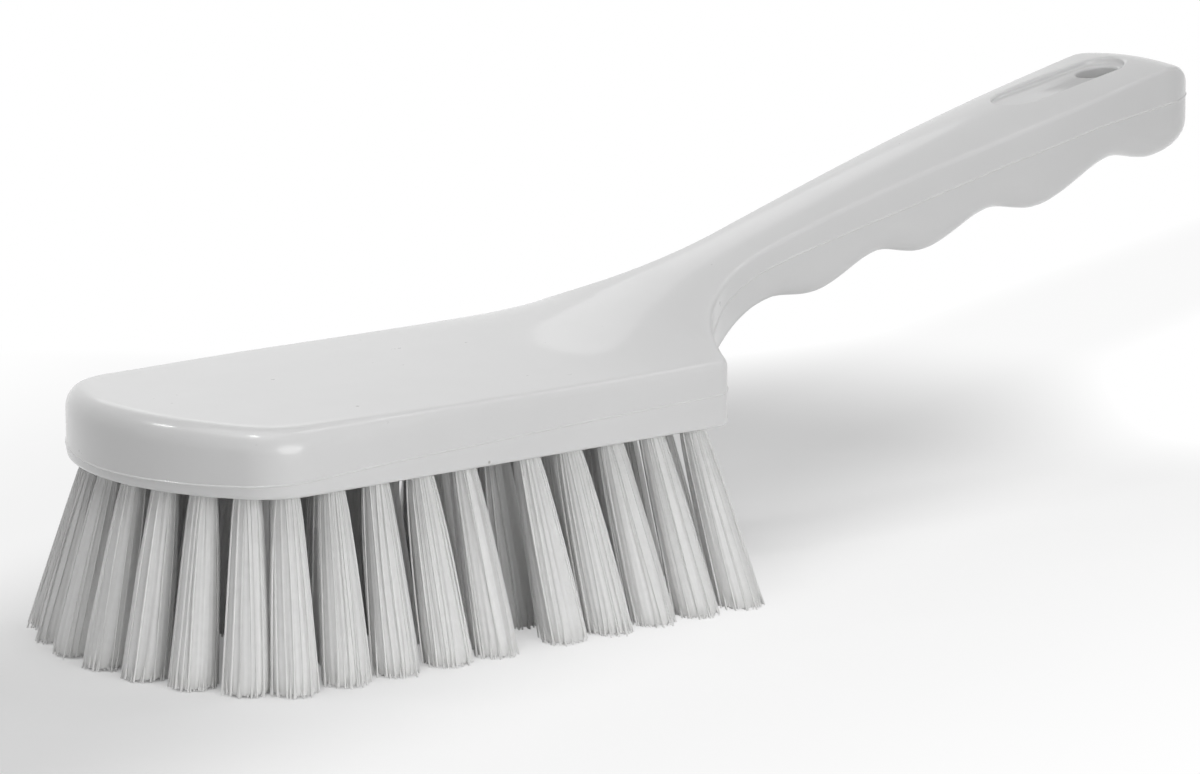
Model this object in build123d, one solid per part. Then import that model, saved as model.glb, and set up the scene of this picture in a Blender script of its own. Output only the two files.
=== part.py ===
from build123d import *
import math
import os

# A short-handled scrub brush that stands on its bristle tips.
# X runs from the nose of the head to the end of the handle, Y across, Z up.
# Lengths are in millimetres. Every station along the brush is measured from the nose.

# Overall sizes
overall_length = 265.5
head_length = 120.0
head_width = 70.0
block_height = 12.4
bristle_length = 34.8

# Plan of the head
nose_radius = 48.0
nose_corner_radius = 14.0
rear_corner_radius = 3.5
crown_height = 1.2
nose_round_depth = 2.4
nose_round_width = 8.0
nose_round_length = 60.0
top_edge_radius = 1.6
bottom_edge_radius = 0.9

# Neck and handle
waist_station = 150.0
waist_width = 19.0
handle_width = 28.4
widest_from_end = 30.5
handle_crown = 2.6
handle_end_radius = 12.6
handle_end_round_depth = 8.0
handle_end_round_width = 14.0
sweep_start = 76.0
sweep_end = 130.0
crown_settled = 150.0
crown_easing_start = 222.0
crown_easing_end = 255.0
crown_easing_share = 0.6
neck_slope_share = 0.33
end_slope_share = 0.217
neck_root_height = 3.0
rear_wall_step = 0.6
neck_root_slope_share = 0.1
grip_edge_radius = 5.0

# Finger grips: crests and hollows in turn along a straight rising line under the handle
grip_start = 152.2
grip_start_height = 50.6
grip_slope_share = 0.21
grip_run = 14.0
grip_run_shares = (0, 0.86, 1.93, 2.8, 3.91, 4.87, 6.22, 7.15)
grip_depth = 1.7
grip_swing_shares = (0.4, -1, 0.95, -1, 1, -1.05, 1.35, -0.75)

# Hanging hole and the dished recess that leads to it
hanging_hole_diameter = 8.6
hanging_hole_from_end = 19.5
recess_length = 33.0
recess_width = 11.6
recess_depth = 1.3

# Tufts
tuft_diameter = 4.6
tuft_hole_depth = 9.0
tuft_edge_inset = 6.0
side_row_start = 19.6
side_row_gap = 14.8
side_tufts = 10
nose_tufts = 7
second_row_tufts = 8
middle_row_tufts = 7
tuft_row_pitch = 11.6
row_shares = (-1, -0.6, -0.2, 0.2, 0.6, 1)
nose_lean = 7.5
rear_lean = 4.5
side_lean = 9.5
lean_centre = 56.0
strands_round = 6
strand_width = 1.15
strand_tip_width = 1.45
tuft_tip_spread = 2.75
strand_root_spread = 1.5
plug_reach = 0.8
strand_seat = 1.5
tip_trim = 0.5

# Flat anchors that hold each folded tuft in its hole
anchor_length = 5.2
anchor_height = 1.8
anchor_thickness = 0.35
anchor_from_bottom = 1.2

# One overrun serves every cut
overrun = 1.0
nudge = 0.01
roof_pitch = 3.0
roof_tolerance = 0.05
roof_smoothing = (1, 1, 1)
roof_degree = 5
side_edge_depth = 9.0

half_head = head_width / 2
half_handle = handle_width / 2
half_waist = waist_width / 2
block_bottom = bristle_length
edge_top = block_bottom + block_height
rear_corner_x = head_length - rear_corner_radius
rear_corner_y = half_head - rear_corner_radius
neck_sweep_radius = (
    (waist_station - rear_corner_x) ** 2 + (rear_corner_y - half_waist) ** 2 - rear_corner_radius**2
) / (2 * (half_head - half_waist))
neck_turn = math.atan2(neck_sweep_radius + half_waist - rear_corner_y, waist_station - rear_corner_x)
nose_centre_y = half_head - nose_corner_radius
nose_centre_x = nose_radius - math.sqrt((nose_radius - nose_corner_radius) ** 2 - nose_centre_y**2)
nose_turn = math.atan2(nose_centre_y, nose_radius - nose_centre_x)


def smooth(share):
    """Eased step from 0 to 1."""
    t = min(max(share, 0.0), 1.0)
    return t * t * (3 - 2 * t)


def crown_easing(x):
    """Share of the handle's crown that has died away towards its end."""
    run = crown_easing_end - crown_easing_start
    return crown_easing_share * smooth((x - crown_easing_start) / run)


def centre_height(x):
    """Height of the top surface on the centre line at a station."""
    base = edge_top + crown_height
    if x <= sweep_start:
        return base
    rise = neck_slope_share / (sweep_end - sweep_start) / 2
    if x <= sweep_end:
        return base + rise * (x - sweep_start) ** 2
    height = base + rise * (sweep_end - sweep_start) ** 2
    run = x - sweep_end
    fade = (neck_slope_share - end_slope_share) / (overall_length - sweep_end) / 2
    return height + neck_slope_share * run - fade * run**2 - handle_crown * crown_easing(x)


def cross_fall(x):
    """Coefficient of the parabola by which the top surface falls to each side."""
    head = (centre_height(min(x, head_length)) - edge_top) / half_head**2
    handle = handle_crown * (1 - crown_easing(x)) / half_handle**2
    blend = smooth((x - head_length) / (crown_settled - head_length))
    return head + (handle - head) * blend


def inset_from_nose(x, y):
    """How far a point lies inside the outline of the head."""
    y = abs(y)
    dx = x - nose_centre_x
    dy = y - nose_centre_y
    if dx >= 0:
        return half_head - y
    if dy > 0 and math.atan2(dy, -dx) > nose_turn:
        return nose_corner_radius - math.hypot(dx, dy)
    return nose_radius - math.hypot(x - nose_radius, y)


def roof_height(x, y):
    """Height of the moulded top surface over one point of the plan."""
    height = centre_height(x) - cross_fall(x) * y**2
    depth = nose_round_depth * (1 - smooth(x / nose_round_length))
    near = 1 - min(inset_from_nose(x, y) / nose_round_width, 1)
    end = max(x - overall_length + handle_end_round_width, 0) / handle_end_round_width
    return height - depth * near**2 - handle_end_round_depth * end**2


def on_nose_corner(turn):
    """A point of the nose's corner arc, by its turn up from the front."""
    return Vector(
        nose_centre_x - nose_corner_radius * math.cos(turn),
        nose_centre_y + nose_corner_radius * math.sin(turn),
    )


def on_rear_corner(turn):
    """A point of the block's rear corner arc, by its turn up from the back."""
    return Vector(
        rear_corner_x + rear_corner_radius * math.cos(turn),
        rear_corner_y + rear_corner_radius * math.sin(turn),
    )


def on_neck_sweep(turn):
    """A point of the hollow neck arc, by its turn down from the front."""
    return Vector(
        waist_station - neck_sweep_radius * math.cos(turn),
        half_waist + neck_sweep_radius * (1 - math.sin(turn)),
    )


def mirrored(point):
    """The same plan point on the other side of the centre line."""
    return Vector(point.X, -point.Y)


def half_plan(place):
    """One side of the plan, with every point passed through a placing function."""
    widest = Vector(overall_length - widest_from_end, half_handle)
    side = Vector(overall_length - handle_end_radius, half_handle)
    end_centre = Vector(side.X, half_handle - handle_end_radius)
    bend = handle_end_radius * math.sqrt(0.5)
    side_start = Vector(nose_centre_x, half_head)
    side_end = Vector(rear_corner_x, half_head)
    touch = on_rear_corner(neck_turn)
    waist = Vector(waist_station, half_waist)
    return [
        ThreePointArc(
            place(on_nose_corner(nose_turn)),
            place(on_nose_corner((nose_turn + math.pi / 2) / 2)),
            place(side_start),
        ),
        Line(place(side_start), place(side_end)),
        ThreePointArc(
            place(side_end), place(on_rear_corner((neck_turn + math.pi / 2) / 2)), place(touch)
        ),
        ThreePointArc(place(touch), place(on_neck_sweep((neck_turn + math.pi / 2) / 2)), place(waist)),
        Spline(place(waist), place(widest), tangents=[(1, 0), (1, 0)]),
        Line(place(widest), place(side)),
        ThreePointArc(
            place(side),
            place(end_centre + Vector(bend, bend)),
            place(end_centre + Vector(handle_end_radius, 0)),
        ),
    ]


def plan_face():
    """Plan of the whole moulding: nose, sides, swept neck and handle."""
    touch = on_nose_corner(nose_turn)
    last = Vector(overall_length, half_handle - handle_end_radius)
    nose = ThreePointArc(touch, Vector(0, 0), mirrored(touch))
    end = Line(last, mirrored(last))
    return make_face([*half_plan(Vector), *half_plan(mirrored), nose, end])


def roof_solid():
    """Everything under the crowned top surface."""
    reach = half_head + roof_pitch
    columns = math.ceil((overall_length + 2 * roof_pitch) / roof_pitch)
    rows = 2 * math.ceil(reach / roof_pitch)
    step_x = (overall_length + 2 * roof_pitch) / columns
    step_y = 2 * reach / rows
    grid = []
    for i in range(columns + 1):
        x = -roof_pitch + i * step_x
        line = []
        for j in range(rows + 1):
            y = -reach + j * step_y
            line.append(Vector(x, y, roof_height(x, y)))
        grid.append(line)
    face = Face.make_surface_from_array_of_points(
        grid, tol=roof_tolerance, smoothing=roof_smoothing, max_deg=roof_degree
    )
    return extrude(face, amount=overall_length, dir=(0, 0, -1))


def underside_cut():
    """The air behind the block's rear wall, under the neck and the row of finger grips."""
    slope = (1, 0, grip_slope_share)
    root = Vector(head_length + rear_wall_step, 0, block_bottom + neck_root_height)
    points = []
    for run_share, swing_share in zip(grip_run_shares, grip_swing_shares):
        run = grip_run * run_share
        height = grip_start_height + grip_slope_share * run + grip_depth * swing_share
        points.append(Vector(grip_start + run, 0, height))
    curves = [Spline(root, points[0], tangents=[(1, 0, neck_root_slope_share), slope])]
    for a, b in zip(points[:-1], points[1:]):
        curves.append(Spline(a, b, tangents=[slope, slope]))
    low = block_bottom - overrun
    last = points[-1]
    past = max(overall_length, last.X) + overrun
    closing = Polyline(
        last,
        Vector(past, 0, last.Z + grip_slope_share * (past - last.X)),
        Vector(past, 0, low),
        Vector(root.X, 0, low),
        root,
    )
    face = make_face([*curves, *closing.edges()])
    return extrude(face, amount=half_head + overrun, both=True)


def place_on_top(station, depth):
    """A frame sunk by a depth under the top surface, with its own Z along the surface normal."""
    slope = (centre_height(station + roof_pitch) - centre_height(station - roof_pitch)) / (2 * roof_pitch)
    normal = Vector(-slope, 0, 1).normalized()
    origin = Vector(station, 0, centre_height(station)) - normal * depth
    return Plane(origin=origin, x_dir=Vector(1, 0, slope).normalized(), z_dir=normal)


def hole_plane():
    """Where the hanging hole leaves the floor of the recess."""
    return place_on_top(overall_length - hanging_hole_from_end, recess_depth)


def recess_cut():
    """A long oval dish, ending round the hanging hole."""
    hole_station = overall_length - hanging_hole_from_end
    station = hole_station + recess_width / 2 - recess_length / 2
    oval = SlotOverall(recess_length, recess_width)
    return extrude(place_on_top(station, recess_depth) * oval, amount=recess_depth + overrun)


def hanging_hole_cut():
    """A round bore square to the top of the handle."""
    radius = hanging_hole_diameter / 2
    deep = overall_length - head_length
    return hole_plane() * Cylinder(radius, 2 * deep)


def crown_edges(body):
    """The rim all round the top surface."""
    roof = body.faces().sort_by(Axis.Z)[-1]
    return roof.outer_wire().edges()


def grip_edges(body):
    """The long lower edges of the neck and handle, with the end."""
    edges = []
    for edge in body.edges():
        box = edge.bounding_box()
        behind_head = box.min.X > head_length - rear_corner_radius / 2
        above_block = box.max.Z > edge_top
        below_top = box.max.Z < centre_height(box.max.X) - side_edge_depth
        lengthwise = box.size.X > grip_depth / 2 and abs(edge.center().Y) > nudge
        across_end = box.min.X > overall_length - nudge and box.size.Z < nudge
        if behind_head and above_block and below_top and (lengthwise or across_end):
            edges.append(edge)
    return edges


def moulding():
    """Block, neck and handle before the tuft holes are drilled."""
    plan = Pos(0, 0, block_bottom) * plan_face()
    body = extrude(plan, amount=overall_length, dir=(0, 0, 1))
    body = body & roof_solid()
    body = fillet(crown_edges(body), top_edge_radius)
    body = body - underside_cut()
    body = fillet(grip_edges(body), grip_edge_radius)
    rim = [e for e in body.edges() if e.bounding_box().max.Z < block_bottom + nudge]
    body = fillet(rim, bottom_edge_radius)
    return body - [recess_cut(), hanging_hole_cut()]


def nose_point(run):
    """The point that lies a run along the line of nose tufts, from its near end."""
    corner = nose_corner_radius - tuft_edge_inset
    front = nose_radius - tuft_edge_inset
    if run > nose_line() / 2:
        x, y = nose_point(nose_line() - run)
        return x, -y
    corner_run = corner * (math.pi / 2 - nose_turn)
    if run < corner_run:
        turn = run / corner
        x = nose_centre_x - corner * math.sin(turn)
        return x, -nose_centre_y - corner * math.cos(turn)
    turn = nose_turn - (run - corner_run) / front
    return nose_radius - front * math.cos(turn), -front * math.sin(turn)


def nose_line():
    """Length of the line that the nose tufts follow round the head."""
    corner = nose_corner_radius - tuft_edge_inset
    front = nose_radius - tuft_edge_inset
    return 2 * (corner * (math.pi / 2 - nose_turn) + front * nose_turn)


def spaced(first, last, count):
    """Evenly spaced stations, with both ends."""
    return [first + (last - first) * k / (count - 1) for k in range(count)]


def side_stations(last):
    """Stations of a side row: two halves with a wider gap between them."""
    half = side_tufts // 2
    middle = (side_row_start + last) / 2
    front = spaced(side_row_start, middle - side_row_gap / 2, half)
    return front + spaced(middle + side_row_gap / 2, last, side_tufts - half)


def tuft_places():
    """Node name and root centre of every tuft, where its axis meets the block's face."""
    places = {}
    last = head_length - tuft_edge_inset
    inner_inset = tuft_edge_inset + tuft_row_pitch
    middle_rows = (len(row_shares) // 2, len(row_shares) // 2 + 1)
    for row, share in enumerate(row_shares, start=1):
        y = share * (half_head - tuft_edge_inset)
        if abs(share) == 1:
            stations = side_stations(last)
        else:
            first = nose_radius - math.sqrt((nose_radius - inner_inset) ** 2 - y**2)
            count = middle_row_tufts if row in middle_rows else second_row_tufts
            stations = spaced(first, last, count)
        for k, x in enumerate(stations, start=1):
            places[f"tuft_row{row}_{k:02d}"] = (x, y)
    for k in range(1, nose_tufts + 1):
        places[f"tuft_nose_{k}"] = nose_point(nose_line() * k / (nose_tufts + 1))
    return places


def lean(x, y):
    """How far the tips of a tuft stand out from its root, along X and across."""
    if x < lean_centre:
        along = -nose_lean * (lean_centre - x) / (lean_centre - tuft_edge_inset)
    else:
        last = head_length - tuft_edge_inset
        along = rear_lean * (x - lean_centre) / (last - lean_centre)
    return along, side_lean * y / (half_head - tuft_edge_inset)


def tuft_frame(x, y):
    """A frame at the root of a tuft, with its own Z up the drilled hole."""
    along, across = lean(x, y)
    axis = Vector(-along, -across, bristle_length).normalized()
    return Plane(origin=(x, y, block_bottom), x_dir=(1, 0, along / bristle_length), z_dir=axis)


def drilling(x, y):
    """The blind hole that takes one tuft."""
    rod = Cylinder(
        tuft_diameter / 2,
        tuft_hole_depth + plug_reach + overrun,
        align=(Align.CENTER, Align.CENTER, Align.MAX),
    )
    return tuft_frame(x, y) * Pos(0, 0, tuft_hole_depth) * rod


def anchor(x, y):
    """The flat strip of wire that the tuft is folded over, driven in near the hole's floor."""
    strip = Box(anchor_length, anchor_thickness, anchor_height)
    middle = tuft_hole_depth - anchor_from_bottom - anchor_height / 2
    return tuft_frame(x, y) * Pos(0, 0, middle) * strip


def strand(x, y, turn, spread_share):
    """One straight bristle of four sides, from inside the plug to just below the floor."""
    along, across = lean(x, y)
    ends = []
    for height, width in (
        (block_bottom + strand_seat, strand_width),
        (-tip_trim, strand_tip_width),
    ):
        drop = (block_bottom - height) / bristle_length
        spread = strand_root_spread + (tuft_tip_spread - strand_root_spread) * drop
        reach = spread * spread_share
        place = Pos(
            x + along * drop + reach * math.cos(turn),
            y + across * drop + reach * math.sin(turn),
            height,
        )
        ends.append(place * Rot(0, 0, math.degrees(turn)) * Rectangle(width, width))
    return loft(ends, ruled=True)


def tuft(x, y):
    """A plug of folded bristles with its strands, trimmed flat where the brush stands."""
    plug = tuft_frame(x, y) * Pos(0, 0, tuft_hole_depth) * Cylinder(
        tuft_diameter / 2,
        tuft_hole_depth + plug_reach,
        align=(Align.CENTER, Align.CENTER, Align.MAX),
    )
    strands = [strand(x, y, 0, 0)]
    for k in range(strands_round):
        strands.append(strand(x, y, 2 * math.pi * k / strands_round, 1))
    body = plug.fuse(*strands)
    floor = Box(
        head_length,
        head_length,
        tip_trim + overrun,
        align=(Align.CENTER, Align.CENTER, Align.MAX),
    )
    return body - Pos(x, y, 0) * floor - anchor(x, y)


def main():
    """Makes every piece, centres the brush over the origin and writes one file each."""
    places = tuft_places()
    anchors = [anchor(x, y) for x, y in places.values()]
    holes = [drilling(x, y) for x, y in places.values()]
    pieces = {"block_and_handle": moulding() - [*holes, *anchors]}
    pieces["anchors"] = Compound([piece.solid() for piece in anchors])
    for name, (x, y) in places.items():
        pieces[name] = tuft(x, y)
    box = Compound([solid for piece in pieces.values() for solid in piece.solids()]).bounding_box()
    shift = -(box.min.X + box.max.X) / 2
    os.makedirs("parts", exist_ok=True)
    for name, piece in pieces.items():
        export_step(Pos(shift, 0, 0) * Compound(list(piece.solids())), f"parts/{name}.step")
    hole = hole_plane()
    print("shift along X", shift)
    print("box", box.size)
    print("hanging hole", hole.origin + Vector(shift, 0, 0), "axis", hole.z_dir)
    x, y = places["tuft_row3_05"]
    along, across = lean(x, y)
    print("middle tip of tuft_row3_05", x + along + shift, y + across)
    print("strands", len(places) * (strands_round + 1))


if __name__ == "__main__":
    main()
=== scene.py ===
import math

import bmesh
import bpy
import numpy as np
from bpy.props import FloatProperty, FloatVectorProperty, IntProperty, PointerProperty
from mathutils import Matrix, Vector


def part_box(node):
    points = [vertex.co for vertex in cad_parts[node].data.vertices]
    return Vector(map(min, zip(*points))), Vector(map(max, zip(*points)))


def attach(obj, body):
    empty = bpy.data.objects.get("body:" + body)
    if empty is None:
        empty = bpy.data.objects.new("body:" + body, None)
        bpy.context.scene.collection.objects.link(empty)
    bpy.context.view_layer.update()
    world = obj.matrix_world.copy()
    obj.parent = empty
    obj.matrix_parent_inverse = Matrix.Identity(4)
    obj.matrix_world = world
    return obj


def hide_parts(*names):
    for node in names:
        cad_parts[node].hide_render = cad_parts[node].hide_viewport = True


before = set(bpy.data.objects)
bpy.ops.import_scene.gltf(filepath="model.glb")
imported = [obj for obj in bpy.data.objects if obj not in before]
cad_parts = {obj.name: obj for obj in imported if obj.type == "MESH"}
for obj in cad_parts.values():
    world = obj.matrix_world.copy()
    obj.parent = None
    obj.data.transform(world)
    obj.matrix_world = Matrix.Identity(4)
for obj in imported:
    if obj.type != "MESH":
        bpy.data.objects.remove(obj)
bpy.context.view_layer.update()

bl_info = {
    "name": "Scrub brush",
    "version": (1, 0, 0),
    "blender": (4, 5, 0),
    "location": "3D View > Sidebar > Brush",
    "description": "A moulded scrub brush with a swept handle, drilled tufts and flat anchors",
    "category": "Add Mesh",
}

# Lengths in the shape formulas are millimetres: X from the nose, Y across, Z up from the tips.
MM = 0.001
NOSE_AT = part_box("block_and_handle")[0][0] / MM

# The moulding in plan
LENGTH = 265.5
HEAD_LENGTH = 120.0
HALF_HEAD = 35.0
WAIST = 150.0
HALF_WAIST = 9.5
HALF_HANDLE = 14.2
WIDEST_FROM_END = 30.5
NOSE_RADIUS = 48.0
NOSE_CORNER = 14.0
REAR_CORNER = 3.5
END_CORNER = 12.6
REAR_WALL = 120.6
REAR_WALL_TURN = 0.02
NOSE_CORNER_Y = HALF_HEAD - NOSE_CORNER
NOSE_CORNER_X = NOSE_RADIUS - math.sqrt((NOSE_RADIUS - NOSE_CORNER) ** 2 - NOSE_CORNER_Y**2)
NOSE_TURN = math.atan2(NOSE_CORNER_Y, NOSE_RADIUS - NOSE_CORNER_X)
REAR_CORNER_X = HEAD_LENGTH - REAR_CORNER
REAR_CORNER_Y = HALF_HEAD - REAR_CORNER
# The neck's hollow arc is level at the waist and touches the block's rear corner arc
NECK_SWEEP = (
    (WAIST - REAR_CORNER_X) ** 2 + (REAR_CORNER_Y - HALF_WAIST) ** 2 - REAR_CORNER**2
) / (2 * (HALF_HEAD - HALF_WAIST))
NECK_TURN = math.atan2(NECK_SWEEP + HALF_WAIST - REAR_CORNER_Y, WAIST - REAR_CORNER_X)

# The top surface from the side
BLOCK_BOTTOM = 34.8
EDGE_TOP = 47.2
CROWN = 1.2
HANDLE_CROWN = 2.6
CROWN_SETTLED = 150.0
CROWN_EASING = (222.0, 255.0)
CROWN_EASING_SHARE = 0.6
SWEEP_START = 76.0
SWEEP_END = 130.0
NECK_SLOPE = 0.33
END_SLOPE = 0.217
END_ROUND_DEPTH = 8.0
END_ROUND_WIDTH = 14.0

# The underside of neck and handle: crests and hollows swing about a slope
NECK_ROOT = 37.8
NECK_ROOT_SLOPE = 0.1
GRIP_START = 152.2
GRIP_START_HEIGHT = 50.6
GRIP_SLOPE = 0.21
GRIP_PITCH = 14.0
GRIP_SWING = 1.7
GRIP_RUNS = GRIP_PITCH * np.array([0, 0.86, 1.93, 2.8, 3.91, 4.87, 6.22, 7.15])
GRIP_SWINGS = GRIP_SWING * np.array([0.4, -1, 0.95, -1, 1, -1.05, 1.35, -0.75])
UNDERSIDE_OVERRUN = 6.0

# Where the top edge's round changes from the nose's to the block's, and from there to the handle's
NOSE_RIM_FADE = (14.0, 60.0)
NECK_RIM_FADE = (124.0, 140.0)
# The handle's lower round takes no more than this share of the room behind the rear wall
LOWER_ROOM_SHARE = 0.85
LEAST_ROUND = 0.02
# Share of the rear wall's columns that round its foot; the others climb to the neck
WALL_FOOT_SHARE = 0.6
# Where the two halves of the mould met: places along the side, each with its height
PARTING_X, PARTING_Z = np.array([
    (0, 36.8), (18.6, 37.6), (40.9, 38.8), (59.1, 39.4), (77.8, 40.1), (96.8, 40.6), (117.5, 41.2),
    (121, 42.6), (126, 47.5), (137, 53.6), (147, 57.5), (155.6, 59.9), (166.8, 62.6), (185.1, 67),
    (207.5, 72.7), (234, 78.6), (252.9, 81.4), (265.5, 82.8),
]).T
# The parting ridge's section: shares of its half width above the line, and of how far it stands out
RIDGE_SHARES = ((1, 0), (0.5, 0.7), (0, 1), (-0.5, 0.7), (-1, 0))

HOLE_FROM_END = 19.5
HOLE_LIP = 0.7
HOLE_LENGTH_GUESS = 19.0
RECESS_LENGTH = 33.0
RECESS_WIDTH = 11.6
RECESS_DEPTH = 1.3
RECESS_FILLET = 0.7
RECESS_LIP = 0.6
# The recess's floor has rings at these shares of its radius, and its fillet and lip are flatter than wide
RECESS_FLOOR_SHARES = (0.3, 0.6)
RECESS_ROUND_SHARE = 0.6
# A lip turns this far, in radians, and then its cutter runs out past it by a share of the lip's size
LIP_TURN = 1.3
HOLE_RUN_OUT_SHARE = 1.8
HOLE_RUN_OUT_HEIGHT = 0.35
RECESS_RUN_OUT_SHARE = 1.6
RECESS_RUN_OUT_HEIGHTS = (0.3, 4.0)

TUFT_INSET = 6.0
ROW_PITCH = 11.6
ROWS = (-1, -0.6, -0.2, 0.2, 0.6, 1)
SIDE_ROW_START = 19.6
SIDE_ROW_GAP = 14.8
SIDE_TUFTS = 10
INNER_TUFTS = {2: 8, 3: 7, 4: 7, 5: 8}
NOSE_TUFTS = 7
TUFT_HOLE_DEPTH = 9.0
CUTTER_OVERRUN = 1.0
NOSE_LEAN = 7.5
REAR_LEAN = 4.5
SIDE_LEAN = 9.5
LEAN_CENTRE = 56.0

FILAMENT_SIDES = 5
FILAMENT_STEPS = 7
# Filaments start this far up their hole and spread as a power of the way down
ROOT_INSIDE = 1.6
ROOT_HEIGHT = BLOCK_BOTTOM + ROOT_INSIDE
FLARE_POWER = 0.72
# How far filaments stray at the tips: share of the reach with its limits, and turn in radians
REACH_STRAY = 0.05
REACH_LIMITS = (0.85, 1.08)
TURN_STRAY = 0.16
BOW_LIMIT = 1.6
# Trimming leaves the tips uneven: a gamma spread with its shape and scale, cut off at the most
TRIM_SHAPE = 1.5
TRIM_SCALE = 0.16
TRIM_MOST = 1.4
TRIM_LEAST = 0.02
# A filament's first and last rings close on a point, above its root and below its tip
ROOT_POINT = 0.05
TIP_POINT = -0.02
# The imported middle: points round it, flutes, their depth as a share, and the last three rings as shares
# of the radius and of the height at which it ends
HEART_AROUND = 104
HEART_FLUTES = 13
FLUTE_SHARE = 0.022
HEART_RADIUS_SHARES = ((0.95,), (0.92,), (0.84,))
HEART_HEIGHT_SHARES = ((1,), (0.35,), (0.16,))

CAMERA_AIM = (114.53, 0.0, 37.48)
SENSOR_WIDTH = 36.0
# The lamps and the point that they face are in metres: each has its name, place, width, depth and watts
LAMP_AIM = Vector((0, 0, 0.05))
LAMPS = (
    ("overhead", (-0.15, -0.02, 0.4), 0.34, 0.34, 0.3),
    ("strip", (0.34, -0.04, 0.66), 0.03, 0.5, 0.3),
    ("corner_glint", (-0.26, -0.045, 0.625), 0.09, 0.09, 0.3),
    ("nose_glint", (-0.35, 0.29, 0.51), 0.09, 0.09, 0.25),
    ("near_side", (-0.1, -0.5, 0.15), 0.34, 0.34, 0.92),
    ("far_side", (0.6, 1.3, 0.8), 0.6, 0.6, 0.5),
)
FLOOR_HALF = 6000.0
# The shadow lies along a line that runs back from the nose, beside the brush. The floor turns to plain
# white away from that line and past its far end, over distances in millimetres and between two shares.
SHADOW_ALONG = (0.927, 0.375, 0.0)
SHADOW_ACROSS = (-0.375, 0.927, 0.0)
SHADOW_OFFSET = 41.0
WHITE_NEAR_LINE = (15, 85, 0.17, 0.8)
WHITE_FAR_OFF = (85, 220, 0.0, 0.2)
WHITE_PAST_END = (110, 240, 0.0, 0.75)

# Settings that several nodes share
COLOURS = {"data_type": "RGBA"}
EASED = {"interpolation_type": "SMOOTHSTEP"}


def linear(hex_colour):
    """sRGB hex to linear RGBA: a channel c becomes ((c + 0.055) / 1.055) ** 2.4, or c / 12.92 when dark."""
    value = np.array([int(hex_colour[i:i + 2], 16) for i in (1, 3, 5)]) / 255
    bright = ((value + 0.055) / 1.055) ** 2.4
    return (*np.where(value <= 0.04045, value / 12.92, bright), 1.0)


def smooth(share):
    """Eased step: 3t^2 - 2t^3 of the share held between 0 and 1."""
    t = np.clip(share, 0, 1)
    return t * t * (3 - 2 * t)


def crown_easing(x):
    """Share of the handle's crown that has died away towards its end."""
    first, last = CROWN_EASING
    return CROWN_EASING_SHARE * smooth((x - first) / (last - first))


def centre_height(x):
    """Height on the centre line: level, a parabola up to the neck's slope, then a slope that eases off."""
    span = SWEEP_END - SWEEP_START
    rise = NECK_SLOPE / span / 2 * np.clip(x - SWEEP_START, 0, span) ** 2
    run = np.maximum(x - SWEEP_END, 0)
    fade = (NECK_SLOPE - END_SLOPE) / (LENGTH - SWEEP_END) / 2
    return EDGE_TOP + CROWN + rise + NECK_SLOPE * run - fade * run**2 - HANDLE_CROWN * crown_easing(x)


def top_height(x, y):
    """Top surface: centre height less a parabola across, less a parabola over the last part of the handle."""
    head = (centre_height(np.minimum(x, HEAD_LENGTH)) - EDGE_TOP) / HALF_HEAD**2
    blend = smooth((x - HEAD_LENGTH) / (CROWN_SETTLED - HEAD_LENGTH))
    handle = HANDLE_CROWN * (1 - crown_easing(x)) / HALF_HANDLE**2
    fall = head + (handle - head) * blend
    end = np.maximum(x - LENGTH + END_ROUND_WIDTH, 0) / END_ROUND_WIDTH
    return centre_height(x) - fall * y**2 - END_ROUND_DEPTH * end**2


def underside_line():
    """Underside of neck and handle as points: cubics from the rear wall through the crests and hollows of the
    grips, each (2t^3 - 3t^2 + 1) a + (t^3 - 2t^2 + t) l u + (3t^2 - 2t^3) b + (t^3 - t^2) l v, where u and v
    are the slopes at its ends a and b and l is the distance between them. Past the last it runs straight."""
    x = np.concatenate([[REAR_WALL], GRIP_START + GRIP_RUNS, [LENGTH + UNDERSIDE_OVERRUN]])
    z = GRIP_START_HEIGHT + GRIP_SLOPE * (x - GRIP_START)
    z[0] = NECK_ROOT
    z[1:-1] += GRIP_SWINGS
    z[-1] += GRIP_SWINGS[-1]
    knots = np.stack([x, z], 1)[:, None]
    slope = np.stack([np.ones(len(x)), np.full(len(x), GRIP_SLOPE)], 1)[:, None]
    slope[0, 0, 1] = NECK_ROOT_SLOPE
    slope = slope / np.linalg.norm(slope, axis=2, keepdims=True)
    a, b = knots[:-1], knots[1:]
    chord = np.linalg.norm(b - a, axis=2, keepdims=True)
    t = np.linspace(0, 1, 24, endpoint=False)[None, :, None]
    line = (
        (2 * t**3 - 3 * t**2 + 1) * a
        + (t**3 - 2 * t**2 + t) * chord * slope[:-1]
        + (3 * t**2 - 2 * t**3) * b
        + (t**3 - t**2) * chord * slope[1:]
    )
    line = np.vstack([line.reshape(-1, 2), knots[-1]])
    return line[:, 0], line[:, 1]


def arc(cx, cy, radius, start, stop, count, inward):
    """Points centre + radius (cos a, sin a) with the unit normal that points into the plastic."""
    a = np.linspace(start, stop, count)
    c, s = np.cos(a), np.sin(a)
    return np.stack([cx + radius * c, cy + radius * s, inward * c, inward * s], 1)


def straight(x0, y0, x1, y1, count, nx, ny):
    """Evenly spaced points of a straight run with a fixed inward normal."""
    t = np.linspace(0, 1, count)
    return np.stack([x0 + (x1 - x0) * t, y0 + (y1 - y0) * t, np.full(count, nx), np.full(count, ny)], 1)


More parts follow.
